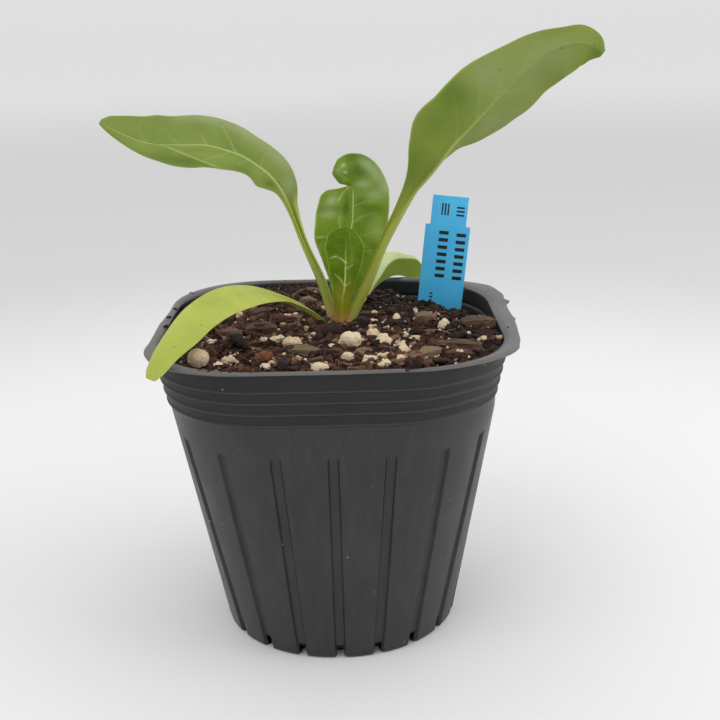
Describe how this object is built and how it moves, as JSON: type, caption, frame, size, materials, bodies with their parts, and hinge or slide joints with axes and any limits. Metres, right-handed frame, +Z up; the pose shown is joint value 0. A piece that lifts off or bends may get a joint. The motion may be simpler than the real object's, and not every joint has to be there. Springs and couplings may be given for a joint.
{
  "type": "potted swiss chard",
  "caption": "Young swiss chard plant with long stalked leaves, growing in dark soil in a tapered square fluted nursery pot with a plain plant tag beside it.",
  "frame": {"origin": "centre of the pot's flat underside", "axes": "+Z up the pot's upright axis, -Y out of the pot's front face, +X out of the side that the tallest leaf leans over"},
  "size_m": [0.1579, 0.1309, 0.1881],
  "materials": {
    "pot_plastic": "thin vacuum-formed sheet, charcoal, faintly satin",
    "soil": "loose dark brown potting mix",
    "root": "fleshy, orange tan",
    "tag_plastic": "printed sheet, sky blue",
    "pumice": "porous, cream to tan",
    "bark": "weathered chips, grey brown",
    "leaf_blade": "crinkled, softly glossy green",
    "cotyledon_blade": "smooth, matte yellow green",
    "stalk": "smooth, pale green to tan"
  },
  "bodies": {
    "root": {"back_cotyledon_blade": "cotyledon_blade", "back_cotyledon_stalk": "stalk", "bark_chip_01": "bark", "bark_chip_02": "bark", "bark_chip_03": "bark", "bark_chip_04": "bark", "bark_chip_05": "bark", "bark_chip_06": "bark", "bark_chip_07": "bark", "bark_chip_08": "bark", "bark_chip_09": "bark", "bark_chip_10": "bark", "bark_chip_11": "bark", "bark_chip_12": "bark", "centre_leaf_blade": "leaf_blade", "centre_leaf_stalk": "stalk", "crown_and_taproot": "root", "front_cotyledon_blade": "cotyledon_blade", "front_cotyledon_stalk": "stalk", "front_leaf_blade": "leaf_blade", "front_leaf_stalk": "stalk", "left_leaf_blade": "leaf_blade", "left_leaf_stalk": "stalk", "nursery_pot": "pot_plastic", "plant_tag": "tag_plastic", "potting_soil": "soil", "pumice_01": "pumice", "pumice_02": "pumice", "pumice_03": "pumice", "pumice_04": "pumice", "pumice_05": "pumice", "pumice_06": "pumice", "pumice_07": "pumice", "pumice_08": "pumice", "pumice_09": "pumice", "pumice_10": "pumice", "pumice_11": "pumice", "pumice_12": "pumice", "pumice_13": "pumice", "pumice_14": "pumice", "pumice_15": "pumice", "pumice_16": "pumice", "pumice_17": "pumice", "right_leaf_blade": "leaf_blade", "right_leaf_stalk": "stalk"}
  },
  "joints": []
}
